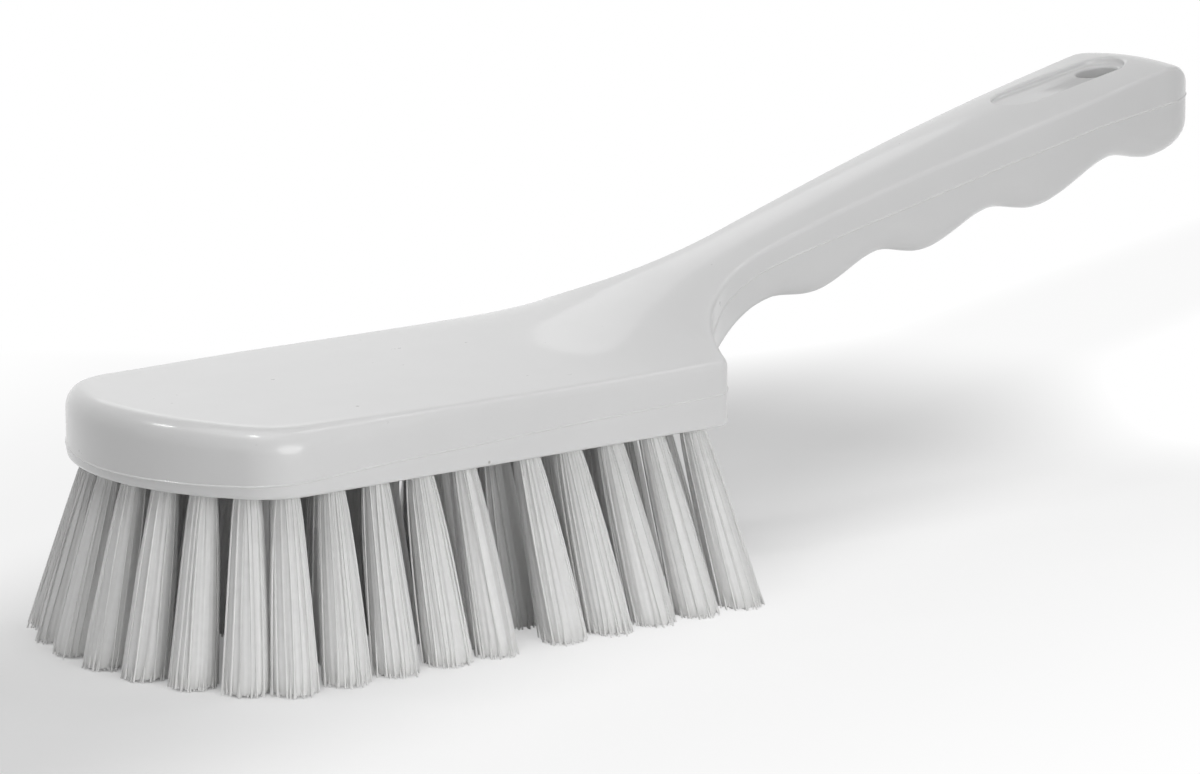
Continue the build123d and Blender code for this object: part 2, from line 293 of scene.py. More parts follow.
def widening():
    """The handle's side from the waist to its widest: y eases by 3t^2 - 2t^3 while x runs evenly."""
    t = np.linspace(0, 1, 92)
    run, rise = LENGTH - WIDEST_FROM_END - WAIST, HALF_HANDLE - HALF_WAIST
    slope = rise / run * 6 * t * (1 - t)
    size = np.hypot(1, slope)
    return np.stack([WAIST + run * t, HALF_WAIST + rise * smooth(t), slope / size, -1 / size], 1)


def outline():
    """Half the plan from the nose to the handle's end, in three runs: block, rear wall, neck and handle.
    Each row holds x, y and the inward normal."""
    half = math.pi
    quarter = math.pi / 2
    nose_end = half - NOSE_TURN
    neck_start = half + NECK_TURN
    sweep_y = HALF_WAIST + NECK_SWEEP
    meet = half + math.acos((WAIST - REAR_WALL) / NECK_SWEEP)
    leave = meet + REAR_WALL_TURN
    widest_x = LENGTH - WIDEST_FROM_END
    end_x, end_y = LENGTH - END_CORNER, HALF_HANDLE - END_CORNER
    block = np.vstack([
        arc(NOSE_RADIUS, 0, NOSE_RADIUS, half, nose_end, count=30, inward=-1)[:-1],
        arc(NOSE_CORNER_X, NOSE_CORNER_Y, NOSE_CORNER, nose_end, quarter, count=22, inward=-1)[:-1],
        straight(NOSE_CORNER_X, HALF_HEAD, REAR_CORNER_X, HALF_HEAD, count=56, nx=0, ny=-1)[:-1],
        arc(REAR_CORNER_X, REAR_CORNER_Y, REAR_CORNER, quarter, NECK_TURN, count=10, inward=-1)[:-1],
        arc(WAIST, sweep_y, NECK_SWEEP, neck_start, meet, count=6, inward=1)[:-1],
    ])
    wall = arc(WAIST, sweep_y, NECK_SWEEP, meet, leave, count=10, inward=1)
    handle = np.vstack([
        arc(WAIST, sweep_y, NECK_SWEEP, leave, 1.5 * math.pi, count=36, inward=1)[1:],
        widening()[1:],
        straight(widest_x, HALF_HANDLE, end_x, HALF_HANDLE, count=20, nx=0, ny=-1)[1:],
        arc(end_x, end_y, END_CORNER, quarter, 0, count=26, inward=-1)[1:],
        straight(LENGTH, end_y, LENGTH, 0, count=4, nx=-1, ny=0)[1:],
    ])
    return block, wall, handle


def spine(line, inner_x, reach):
    """Where each column's cap line meets the centre line: level with its rim point along the sides, and
    spread by run length from the nose and towards the handle's end, so that no two cap lines lie together."""
    run = np.concatenate([[0], np.cumsum(np.hypot(*np.diff(line[:, :2], axis=0).T))])
    at = inner_x.copy()
    nose = line[:, 0] <= NOSE_CORNER_X
    nose_run = run[nose][-1]
    at[nose] = reach[nose] + (NOSE_CORNER_X - reach[nose]) * run[nose] / nose_run
    end_x = LENGTH - END_CORNER
    end = line[:, 0] >= end_x
    share = (run[end] - run[end][0]) / (run[end][-1] - run[end][0])
    at[end] = end_x + (END_CORNER - reach[end]) * share
    return at


def top_round(x, settings):
    """Radius of the top edge's round, eased from the nose's to the block's, the handle's and the end's."""
    first, last = NOSE_RIM_FADE
    nose = 1 - smooth((x - first) / (last - first))
    end = smooth((x - LENGTH + END_CORNER) / END_CORNER)
    radius = np.interp(x, NECK_RIM_FADE, [settings.rim_radius / MM, settings.handle_rim_radius / MM])
    radius = radius + (settings.nose_rim_radius - settings.rim_radius) / MM * nose
    return radius + (settings.end_rim_radius - settings.handle_rim_radius) / MM * end


def lower_round(line, first, last, settings):
    """Radius of the lower edge's round, and the height of the block's underside. From the column first to the
    column last the round shrinks as r cos a while the height rises by r (1 - cos a), and then by a straight
    climb to the neck's root."""
    x, _, nx, _ = line.T
    foot = settings.foot_radius / MM
    least = 0.05
    room = LOWER_ROOM_SHARE * (x - REAR_WALL) / np.maximum(-nx, least)
    grip = np.minimum(settings.grip_edge_radius / MM, room)
    radius = np.where(np.arange(len(line)) < first, foot, np.maximum(grip, LEAST_ROUND))
    climb = np.linspace(0, 1, last - first)
    turn = np.minimum(climb / WALL_FOOT_SHARE, 1) * math.pi / 2
    over = np.maximum(climb - WALL_FOOT_SHARE, 0) / (1 - WALL_FOOT_SHARE)
    radius[first:last] = foot * np.cos(turn) + LEAST_ROUND
    height = np.full(len(line), BLOCK_BOTTOM)
    rise = foot * (1 - np.cos(turn)) * (1 - over)
    height[first:last] = BLOCK_BOTTOM + rise + over * (NECK_ROOT - BLOCK_BOTTOM)
    return radius, height


def moulding_surface(settings):
    """The whole moulding as one closed grid. A column is a station of the outline. Down a column the rows are
    the top cap, the quarter-round of the top rim, the wall with the parting ridge, the quarter-round of the
    lower rim and the underside. A quarter-round goes in by r (1 - sin a) and down by r (1 - cos a). The rear
    wall's columns stand almost in one place."""
    block, wall, handle = outline()
    line = np.vstack([block, wall, handle])
    last = len(block) + len(wall)
    x, y, nx, ny = line.T
    top_r = top_round(x, settings)
    low_r, block_low = lower_round(line, len(block), last, settings)
    line_x, line_z = underside_line()

    def inwards(size):
        return x + nx * size, y + ny * size

    def low(px):
        return np.where(np.arange(len(line)) < last, block_low, np.interp(px, line_x, line_z))

    rows = []
    rim_x, rim_y = inwards(top_r)
    middle = spine(line, rim_x, top_r)
    for s in np.linspace(0, 1, 20):
        px, py = middle + (rim_x - middle) * s, rim_y * s
        rows.append((px, py, top_height(px, py)))
    for a in np.linspace(0, math.pi / 2, 9)[1:]:
        px, py = inwards(top_r * (1 - math.sin(a)))
        rows.append((px, py, top_height(px, py) - top_r * (1 - math.cos(a))))

    high, foot = rows[-1][2], low(x) + low_r
    ridge = settings.ridge_width / MM / 2
    part = np.clip(np.interp(x, PARTING_X, PARTING_Z), foot + 2 * ridge, high - 2 * ridge)
    for t in (0.25, 0.5, 0.75):
        rows.append((x, y, high + (part + ridge - high) * t))
    for rise, proud in RIDGE_SHARES:
        rows.append((*inwards(-settings.ridge_height / MM * proud), part + ridge * rise))
    for t in (0.25, 0.5, 0.75, 1):
        rows.append((x, y, part - ridge + (foot - part + ridge) * t))

    for a in np.linspace(0, math.pi / 2, 8)[1:]:
        px, py = inwards(low_r * (1 - math.cos(a)))
        rows.append((px, py, low(px) + low_r * (1 - math.sin(a))))
    rim_x, rim_y = inwards(low_r)
    middle = spine(line, rim_x, low_r)
    for s in np.linspace(1, 0, 18)[1:]:
        px, py = middle + (rim_x - middle) * s, rim_y * s
        rows.append((px, py, low(px)))
    return np.array(rows).transpose(0, 2, 1)


def grid_faces(rows, columns):
    """Corner numbers of the quads between neighbouring rows and columns of a grid."""
    corner = np.arange(rows * columns).reshape(rows, columns)
    quads = [corner[:-1, :-1], corner[:-1, 1:], corner[1:, 1:], corner[1:, :-1]]
    return np.stack([q.ravel() for q in quads], 1)


def mesh_object(name, points, faces):
    """A mesh object at the origin from points in millimetres from the nose, moved into the frame."""
    mesh = bpy.data.meshes.new(name)
    place = (np.asarray(points, float).reshape(-1, 3) + (NOSE_AT, 0, 0)) * MM
    mesh.from_pydata(place.tolist(), [], faces)
    obj = bpy.data.objects.new(name, mesh)
    bpy.context.scene.collection.objects.link(obj)
    return obj


def close_up(obj, gap=0.004 * MM):
    """Merges doubled points, drops what has no area and turns every face outwards."""
    shape = bmesh.new()
    shape.from_mesh(obj.data)
    bmesh.ops.remove_doubles(shape, verts=shape.verts, dist=gap)
    bmesh.ops.dissolve_degenerate(shape, edges=shape.edges, dist=gap / 4)
    bmesh.ops.recalc_face_normals(shape, faces=shape.faces)
    shape.to_mesh(obj.data)
    shape.free()


def cut(obj, cutter):
    """Takes a closed cutter out of a closed piece and applies the result to the piece's mesh."""
    step = obj.modifiers.new("cut", "BOOLEAN")
    step.operation = "DIFFERENCE"
    step.solver = "EXACT"
    step.object = cutter
    bpy.context.view_layer.update()
    done = bpy.data.meshes.new_from_object(obj.evaluated_get(bpy.context.evaluated_depsgraph_get()))
    obj.modifiers.remove(step)
    obj.data = done
    bpy.data.objects.remove(cutter)


def lathe_cutter(name, rings):
    """A closed solid between rings of equal count, with a flat lid on the first and on the last ring."""
    count, around = len(rings), len(rings[0])
    corner = np.arange(count * around).reshape(count, around)
    after = np.roll(corner, -1, axis=1)
    sides = np.stack([corner[:-1].ravel(), after[:-1].ravel(), after[1:].ravel(), corner[1:].ravel()], 1)
    faces = sides.tolist() + [corner[0][::-1].tolist(), corner[-1].tolist()]
    obj = mesh_object(name, np.array(rings), faces)
    close_up(obj)
    return obj


def recess_cutter():
    """The dish along the handle's top. Its outline is all points at a distance from a short centre line, and
    its section is a flat floor, an inner fillet, a wall and a lip that flares by r (1 - cos a)."""
    hole_x = LENGTH - HOLE_FROM_END
    radius = RECESS_WIDTH / 2
    back = hole_x + radius - RECESS_LENGTH + radius
    half = 33
    turn = np.concatenate([np.linspace(-0.5, 0.5, half), np.linspace(0.5, 1.5, half)]) * math.pi
    centre = np.repeat([hole_x, back], half)

    def ring(size, rim, rise):
        px, py = centre + size * np.cos(turn), size * np.sin(turn)
        floor = centre_height(px) - RECESS_DEPTH
        return np.stack([px, py, floor + (top_height(px, py) - floor) * rim + rise], 1)

    rings = [ring(radius * share, 0, 0) for share in RECESS_FLOOR_SHARES]
    for a in np.linspace(0, math.pi / 2, 6):
        size = radius - RECESS_FILLET * (1 - math.sin(a))
        rings.append(ring(size, 0, RECESS_FILLET * (1 - math.cos(a)) * RECESS_ROUND_SHARE))
    for a in np.linspace(0.2, LIP_TURN, 7):
        size = radius + RECESS_LIP * (1 - math.cos(a))
        rings.append(ring(size, 1, -RECESS_LIP * (1 - math.sin(a)) * RECESS_ROUND_SHARE))
    widest = radius + RECESS_LIP * RECESS_RUN_OUT_SHARE
    rings += [ring(widest, 1, height) for height in RECESS_RUN_OUT_HEIGHTS]
    return lathe_cutter("recess_cutter", rings)


def hanging_hole_cutter(diameter):
    """A round bore square to the handle's top, with a lip that flares by r (1 - cos a) at both mouths."""
    x = LENGTH - HOLE_FROM_END
    reach = 3
    slope = centre_height(x + reach) - centre_height(x - reach)
    along = np.array([2 * reach, 0, slope]) / math.hypot(2 * reach, slope)
    axis = np.array([-along[2], 0, along[0]])
    top = np.array([x, 0, centre_height(x)]) - axis * RECESS_DEPTH
    turn = np.linspace(0, 2 * math.pi, 72, endpoint=False)
    line_x, line_z = underside_line()

    def ring(size, depth):
        flat = along * np.cos(turn)[:, None] + np.array([0, 1, 0]) * np.sin(turn)[:, None]
        return top + flat * size - axis * np.reshape(depth, (-1, 1)) * np.ones((len(turn), 1))

    def exit_depth(size):
        depth = np.full(len(turn), HOLE_LENGTH_GUESS)
        for _ in range(6):
            p = ring(size, depth)
            depth = depth + (p[:, 2] - np.interp(p[:, 0], line_x, line_z)) / axis[2]
        return depth

    widest = diameter / 2 + HOLE_LIP * HOLE_RUN_OUT_SHARE
    rings = [ring(widest, -HOLE_RUN_OUT_HEIGHT)]
    for a in np.linspace(LIP_TURN, 0, 7):
        rings.append(ring(diameter / 2 + HOLE_LIP * (1 - math.cos(a)), HOLE_LIP * (1 - math.sin(a))))
    for a in np.linspace(0, LIP_TURN, 7):
        size = diameter / 2 + HOLE_LIP * (1 - math.cos(a))
        rings.append(ring(size, exit_depth(size) - HOLE_LIP * (1 - math.sin(a))))
    rings.append(ring(widest, exit_depth(widest) + HOLE_RUN_OUT_HEIGHT))
    return lathe_cutter("hanging_hole_cutter", rings)


def nose_row(share):
    """A point at a share of the way along the line of nose tufts: corner arc, front arc, corner arc."""
    corner, front = NOSE_CORNER - TUFT_INSET, NOSE_RADIUS - TUFT_INSET
    bend = corner * (math.pi / 2 - NOSE_TURN)
    total = 2 * (bend + front * NOSE_TURN)
    run = min(share, 1 - share) * total
    side = -1 if share <= 0.5 else 1
    if run < bend:
        a = run / corner
        return NOSE_CORNER_X - corner * math.sin(a), side * (NOSE_CORNER_Y + corner * math.cos(a))
    a = NOSE_TURN - (run - bend) / front
    return NOSE_RADIUS - front * math.cos(a), side * front * math.sin(a)


def tuft_places():
    """Node name and root centre of every tuft: rows along the head, and a line round the nose."""
    places = {}
    last = HEAD_LENGTH - TUFT_INSET
    inset = TUFT_INSET + ROW_PITCH
    middle = (SIDE_ROW_START + last) / 2
    for row, share in enumerate(ROWS, start=1):
        y = share * (HALF_HEAD - TUFT_INSET)
        if row in INNER_TUFTS:
            first = NOSE_RADIUS - math.sqrt((NOSE_RADIUS - inset) ** 2 - y**2)
            stations = np.linspace(first, last, INNER_TUFTS[row])
        else:
            stations = np.concatenate([
                np.linspace(SIDE_ROW_START, middle - SIDE_ROW_GAP / 2, SIDE_TUFTS // 2),
                np.linspace(middle + SIDE_ROW_GAP / 2, last, SIDE_TUFTS - SIDE_TUFTS // 2),
            ])
        for k, x in enumerate(stations, start=1):
            places[f"tuft_row{row}_{k:02d}"] = (float(x), y)
    for k in range(1, NOSE_TUFTS + 1):
        places[f"tuft_nose_{k}"] = nose_row(k / (NOSE_TUFTS + 1))
    return places


def lean(x, y):
    """How far a tuft's tips stand out from its root, along and across, growing away from the middle."""
    if x < LEAN_CENTRE:
        along = -NOSE_LEAN * (LEAN_CENTRE - x) / (LEAN_CENTRE - TUFT_INSET)
    else:
        along = REAR_LEAN * (x - LEAN_CENTRE) / (HEAD_LENGTH - TUFT_INSET - LEAN_CENTRE)
    return along, SIDE_LEAN * y / (HALF_HEAD - TUFT_INSET)


def tuft_holes_cutter(diameter):
    """Every blind hole as a leaning round rod, centre + along t + r (cos a, sin a), as one mesh."""
    around = 24
    turn = np.linspace(0, 2 * math.pi, around, endpoint=False)
    flat = np.stack([np.cos(turn), np.sin(turn), np.zeros(around)], 1)
    ring = np.arange(around)
    after = np.roll(ring, -1)
    points, faces = [], []
    for x, y in tuft_places().values():
        along, across = lean(x, y)
        start = len(points) * around
        for z in (BLOCK_BOTTOM - CUTTER_OVERRUN, BLOCK_BOTTOM + TUFT_HOLE_DEPTH):
            drop = (BLOCK_BOTTOM - z) / BLOCK_BOTTOM
            centre = np.array([x + along * drop, y + across * drop, z])
            points.append(centre + flat * diameter / 2)
        faces += (np.stack([ring, after, after + around, ring + around], 1) + start).tolist()
        faces += [(ring[::-1] + start).tolist(), (ring + around + start).tolist()]
    obj = mesh_object("tuft_holes_cutter", np.array(points), faces)
    close_up(obj)
    return obj


def filament_lines(x, y, settings, t, grow, rng):
    """Centre lines of a tuft's filaments at the shares t of their way down. Roots fill the hole in a
    sunflower spiral, r = R sqrt(k / n) at the golden angle. Each line runs from its root to its own tip,
    spread wider, with a sideways bow of b sin(pi t)."""
    count = settings.filaments
    along, across = lean(x, y)
    k = np.arange(count)
    share = np.sqrt((k + 0.5) / count)
    angle = k * math.pi * (3 - math.sqrt(5)) + rng.uniform(0, 2 * math.pi)
    root_r = settings.root_spread / MM * share
    tip_r = settings.tip_spread / MM * share * rng.normal(1, REACH_STRAY, count).clip(*REACH_LIMITS)
    tip_angle = angle + rng.normal(0, TURN_STRAY, count)
    bow = settings.bow / MM * rng.normal(0, 1, (count, 2)).clip(-BOW_LIMIT, BOW_LIMIT)
    tip_z = rng.gamma(TRIM_SHAPE, TRIM_SCALE, count).clip(0, TRIM_MOST) + TRIM_LEAST
    z = ROOT_HEIGHT + (tip_z - ROOT_HEIGHT) * t
    drop = (BLOCK_BOTTOM - z) / BLOCK_BOTTOM
    cx = x + along * drop + root_r * np.cos(angle) * (1 - grow) + tip_r * np.cos(tip_angle) * grow
    cy = y + across * drop + root_r * np.sin(angle) * (1 - grow) + tip_r * np.sin(tip_angle) * grow
    swing = np.sin(math.pi * t)
    return cx + bow[:, 0] * swing, cy + bow[:, 1] * swing, z


def tuft_surface(x, y, settings, rng):
    """One tuft of round filaments and its packed middle. A filament's centre line carries rings of
    r (cos a, sin a) in the level plane, and its first and last rings close on a point."""
    count, sides, steps = settings.filaments, FILAMENT_SIDES, FILAMENT_STEPS
    t = np.linspace(0, 1, steps)[:, None]
    grow = t**FLARE_POWER
    cx, cy, z = filament_lines(x, y, settings, t, grow, rng)
    turn = np.linspace(0, 2 * math.pi, sides, endpoint=False) + rng.uniform(0, math.pi, count)[:, None]
    radius = settings.filament_diameter / MM / 2
    ring_x = cx[:, :, None] + radius * np.cos(turn)
    ring_y = cy[:, :, None] + radius * np.sin(turn)
    ring_z = np.repeat(z[:, :, None], sides, 2)
    body = np.stack([ring_x, ring_y, ring_z], 3)
    ends = np.stack([cx[[0, -1]], cy[[0, -1]], z[[0, -1]] + np.array([[ROOT_POINT], [TIP_POINT]])], 2)
    points = np.vstack([body.reshape(-1, 3), ends.reshape(-1, 3)])
    points[:, 2] = np.maximum(points[:, 2], 0)

    corner = np.arange(steps * count * sides).reshape(steps, count, sides)
    after = np.roll(corner, -1, axis=2)
    root = np.repeat(corner.size + np.arange(count)[:, None], sides, 1)
    quads = np.stack([corner[:-1], corner[1:], after[1:], after[:-1]], 3).reshape(-1, 4)
    root_fan = np.stack([corner[0], after[0], root], 2).reshape(-1, 3)
    tip_fan = np.stack([after[-1], corner[-1], root + count], 2).reshape(-1, 3)
    heart, heart_faces = tuft_heart(x, y, settings, grow, z[:, :1])
    faces = quads.tolist() + root_fan.tolist() + tip_fan.tolist() + (heart_faces + len(points)).tolist()
    return np.vstack([points, heart]), faces


def tuft_heart(x, y, settings, grow, z):
    """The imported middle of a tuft, where filaments lie side by side: a cone that follows the same centre line
    at a share of the spread, fluted by r (1 - c |cos na|) and drawn in above the tips, as a quad grid."""
    along, across = lean(x, y)
    share = settings.heart_share
    size = share * (settings.root_spread * (1 - grow) + settings.tip_spread * grow) / MM
    size, z = np.vstack([size, size[-1:], size[-1:]]), np.vstack([z, z[-1:], z[-1:]])
    size[-3:] *= HEART_RADIUS_SHARES
    z[-3:] = settings.heart_lift / MM * np.array(HEART_HEIGHT_SHARES)
    drop = (BLOCK_BOTTOM - z) / BLOCK_BOTTOM
    a = np.linspace(0, 2 * math.pi, HEART_AROUND, endpoint=False)
    flute = 1 - FLUTE_SHARE * np.abs(np.cos(HEART_FLUTES * a))
    px = x + along * drop + size * flute * np.cos(a)
    py = y + across * drop + size * flute * np.sin(a)
    rings = np.stack([px, py, z + 0 * a], 2)
    lids = rings.mean(axis=1, keepdims=True).repeat(HEART_AROUND, axis=1)
    rings = np.concatenate([lids[:1], rings, lids[-1:]])
    corner = np.arange(len(rings) * HEART_AROUND).reshape(-1, HEART_AROUND)
    after = np.roll(corner, -1, axis=1)
    faces = np.stack([corner[:-1], corner[1:], after[1:], after[:-1]], 2).reshape(-1, 4)
    return rings.reshape(-1, 3), faces


def soften(obj, degrees):
    """Smooth shading with edges kept sharp where the faces turn by more than an angle."""
    mesh = obj.data
    mesh.polygons.foreach_set("use_smooth", np.ones(len(mesh.polygons), bool))
    mesh.set_sharp_from_angle(angle=math.radians(degrees))
    mesh.update()


def add(tree, kind, settings=None, **inputs):
    """Adds a node, sets its own settings, and fills each named input with a value or a link. An input's name
    has _ for its spaces, or is i and its number where several inputs share a name."""
    node = tree.nodes.new(kind)
    for name, value in (settings or {}).items():
        setattr(node, name, value)
    for name, value in inputs.items():
        key = int(name[1:]) if name[0] == "i" and name[1:].isdigit() else name.replace("_", " ")
        if isinstance(value, bpy.types.NodeSocket):
            tree.links.new(value, node.inputs[key])
        else:
            node.inputs[key].default_value = value
    return node


def blank(name):
    """A new material and its emptied node tree."""
    material = bpy.data.materials.new(name)
    material.use_nodes = True
    material.node_tree.nodes.clear()
    return material, material.node_tree


def per(size_mm):
    """The scale that makes a pattern repeat about every so many millimetres in Object coordinates."""
    return 1 / (size_mm * MM)


# Injection-moulded polypropylene, white: a faint cloudiness, soft wide highlights that slight sink and flow
# marks ripple, a thin glossier skin that the polished mould leaves, light that goes a few millimetres in,
# and odd specks of dirt from use.
def moulded_polypropylene(colour):
    material, tree = blank("moulded_white_polypropylene")
    place = add(tree, "ShaderNodeTexCoord").outputs["Object"]
    cloud = add(tree, "ShaderNodeTexNoise", Vector=place, Scale=per(22), Detail=2.0, Roughness=0.5)
    tone = add(
        tree, "ShaderNodeMix", COLOURS, Factor=cloud.outputs["Fac"],
        i6=linear("#E4E4E4"), i7=tuple(colour),
    )
    spot = add(tree, "ShaderNodeTexVoronoi", Vector=place, Scale=per(15), Randomness=1.0)
    speck = add(
        tree, "ShaderNodeMapRange", EASED, Value=spot.outputs["Distance"],
        From_Min=0.012, From_Max=0.03, To_Min=0.55, To_Max=0.0,
    )
    dirt = add(
        tree, "ShaderNodeMix", COLOURS, Factor=speck.outputs["Result"],
        i6=tone.outputs[2], i7=linear("#77736B"),
    )
    wear = add(tree, "ShaderNodeTexNoise", Vector=place, Scale=per(5), Detail=4.0, Roughness=0.65)
    rough = add(tree, "ShaderNodeMapRange", Value=wear.outputs["Fac"], To_Min=0.24, To_Max=0.36)
    sink = add(tree, "ShaderNodeTexNoise", Vector=place, Scale=per(14), Detail=1.0)
    fine = add(tree, "ShaderNodeTexNoise", Vector=place, Scale=per(0.9), Detail=2.0)
    ripple = add(tree, "ShaderNodeBump", Strength=0.10, Distance=0.6 * MM, Height=sink.outputs["Fac"])
    skin = add(
        tree, "ShaderNodeBump", Strength=0.05, Distance=0.05 * MM,
        Height=fine.outputs["Fac"], Normal=ripple.outputs["Normal"],
    )
    shader = add(
        tree, "ShaderNodeBsdfPrincipled", Base_Color=dirt.outputs[2], Roughness=rough.outputs["Result"],
        Normal=skin.outputs["Normal"], IOR=1.49, Coat_Weight=0.5, Coat_Roughness=0.08,
        Subsurface_Weight=0.12, Subsurface_Scale=3 * MM, Subsurface_Radius=(1.0, 1.0, 1.0),
    )
    add(tree, "ShaderNodeOutputMaterial", Surface=shader.outputs["BSDF"])
    return material


# Extruded polyester monofilament, drawn and white: bright, with light that goes a little way in, a soft
# sheen that lights the edges of each tuft, and a colour a touch greyer over the lowest 6 mm, at the tips.
def polyester_filament(colour):
    material, tree = blank("white_polyester_filament")
    place = add(tree, "ShaderNodeTexCoord").outputs["Object"]
    height = add(tree, "ShaderNodeSeparateXYZ", Vector=place).outputs["Z"]
    # The colour turns a touch greyer over the lowest 6 mm above the floor, where the tips are
    greyer_near_floor = add(
        tree, "ShaderNodeMapRange", Value=height,
        From_Min=0.0, From_Max=6 * MM, To_Min=0.35, To_Max=0.0,
    )
    strand = add(tree, "ShaderNodeTexNoise", Vector=place, Scale=per(1.6), Detail=1.0)
    tone = add(
        tree, "ShaderNodeMix", COLOURS, Factor=strand.outputs["Fac"],
        i6=linear("#F2F2F1"), i7=tuple(colour),
    )
    shade = add(
        tree, "ShaderNodeMix", COLOURS, Factor=greyer_near_floor.outputs["Result"],
        i6=tone.outputs[2], i7=linear("#E8E8E6"),
    )
    shader = add(
        tree, "ShaderNodeBsdfPrincipled", Base_Color=shade.outputs[2], Roughness=0.45, IOR=1.5,
        Subsurface_Weight=0.35, Subsurface_Scale=1.0 * MM, Subsurface_Radius=(1.0, 1.0, 1.0),
        Sheen_Weight=0.6, Sheen_Roughness=0.4,
    )
    add(tree, "ShaderNodeOutputMaterial", Surface=shader.outputs["BSDF"])
    return material


# Rolled flat steel wire, zinc plated and pressed in: grey, streaked along its length, half dull.
def plated_steel_wire(colour):
    material, tree = blank("zinc_plated_steel_wire")
    place = add(tree, "ShaderNodeTexCoord").outputs["Object"]
    along = add(tree, "ShaderNodeMapping", Vector=place, Scale=(0.1, 1.0, 1.0))
    grain = add(tree, "ShaderNodeTexNoise", Vector=along.outputs["Vector"], Scale=per(0.12), Detail=3.0)
    tone = add(
        tree, "ShaderNodeMix", COLOURS, Factor=grain.outputs["Fac"],
        i6=linear("#8E9194"), i7=tuple(colour),
    )
    rough = add(tree, "ShaderNodeMapRange", Value=grain.outputs["Fac"], To_Min=0.3, To_Max=0.5)
    shader = add(
        tree, "ShaderNodeBsdfPrincipled",
        Base_Color=tone.outputs[2], Metallic=1.0, Roughness=rough.outputs["Result"],
    )
    add(tree, "ShaderNodeOutputMaterial", Surface=shader.outputs["BSDF"])
    return material


def seen(tree):
    """1 where a camera, glossy or transmission ray looks, so that the white backdrop adds no light."""
    path = add(tree, "ShaderNodeLightPath").outputs
    most = {"operation": "MAXIMUM"}
    looked = add(tree, "ShaderNodeMath", most, i0=path["Is Camera Ray"], i1=path["Is Glossy Ray"])
    through = add(
        tree, "ShaderNodeMath", most, i0=looked.outputs["Value"], i1=path["Is Transmission Ray"],
    )
    return through.outputs["Value"]


# Matt white paper sweep: plain and pale. It takes the shadow, and away from the shadow it is seen as plain
# white, so that it runs on into the white behind it without an edge.
def paper_floor(colour):
    material, tree = blank("white_paper_floor")
    place = add(tree, "ShaderNodeTexCoord").outputs["Object"]
    fibre = add(tree, "ShaderNodeTexNoise", Vector=place, Scale=per(40), Detail=2.0)
    tone = add(
        tree, "ShaderNodeMix", COLOURS, Factor=fibre.outputs["Fac"],
        i6=linear("#F4F4F4"), i7=tuple(colour),
    )
    paper = add(tree, "ShaderNodeBsdfPrincipled", Base_Color=tone.outputs[2], Roughness=0.9)
    white = add(tree, "ShaderNodeEmission", Color=linear("#FFFFFF"), Strength=1.0)

    dot = {"operation": "DOT_PRODUCT"}
    along = add(tree, "ShaderNodeVectorMath", dot, i0=place, i1=SHADOW_ALONG).outputs["Value"]
    across = add(tree, "ShaderNodeVectorMath", dot, i0=place, i1=SHADOW_ACROSS).outputs["Value"]
    offset = add(
        tree, "ShaderNodeMath", {"operation": "SUBTRACT"}, i0=across, i1=SHADOW_OFFSET * MM,
    ).outputs["Value"]
    reach = add(tree, "ShaderNodeMath", {"operation": "ABSOLUTE"}, i0=offset).outputs["Value"]
    steps = []
    for value, limits in ((reach, WHITE_NEAR_LINE), (reach, WHITE_FAR_OFF), (along, WHITE_PAST_END)):
        first, last, low, high = limits
        step = add(
            tree, "ShaderNodeMapRange", EASED, Value=value,
            From_Min=first * MM, From_Max=last * MM, To_Min=low, To_Max=high,
        )
        steps.append(step.outputs["Result"])
    sides = add(tree, "ShaderNodeMath", {"operation": "ADD"}, i0=steps[0], i1=steps[1])
    away = add(
        tree, "ShaderNodeMath", {"operation": "ADD", "use_clamp": True},
        i0=sides.outputs["Value"], i1=steps[2],
    )
    share = add(
        tree, "ShaderNodeMath", {"operation": "MULTIPLY"}, i0=seen(tree), i1=away.outputs["Value"],
    )
    shader = add(
        tree, "ShaderNodeMixShader",
        i0=share.outputs["Value"], i1=paper.outputs["BSDF"], i2=white.outputs["Emission"],
    )
    add(tree, "ShaderNodeOutputMaterial", Surface=shader.outputs["Shader"])
    return material


def length(name, description, default, precision=4):
    """A length that a user can change, in metres."""
    return FloatProperty(
        name=name, description=description, default=default, unit="LENGTH", precision=precision,
    )


def tint(name, description, hex_colour):
    """A colour that a user can change."""
    return FloatVectorProperty(
        name=name, description=description, default=linear(hex_colour),
        subtype="COLOR", size=4, min=0, max=1,
    )


class BrushMouldingSettings(bpy.types.PropertyGroup):
    rim_radius: length("Rim radius", "Round of the top edge along the block's sides", 1.5 * MM)
    nose_rim_radius: length("Nose rim radius", "Round of the top edge at the nose", 4.2 * MM)
    handle_rim_radius: length("Handle rim radius", "Round of the handle's top edges", 0.8 * MM)
    end_rim_radius: length("End rim radius", "Round of the top edge across the handle's end", 2.4 * MM)
    foot_radius: length("Foot radius", "Round of the block's lower edge", 0.9 * MM)
    grip_edge_radius: length("Grip edge radius", "Round of the handle's lower edges", 5.0 * MM)
    ridge_height: length("Parting ridge height", "How far the mould's parting line stands out", 0.2 * MM, 5)
    ridge_width: length("Parting ridge width", "Width of the mould's parting line", 0.45 * MM, 5)
    hole_diameter: length("Hanging hole diameter", "Bore of the hanging hole", 8.6 * MM)
    colour: tint("Plastic colour", "Colour of the moulding", "#EAEAEA")


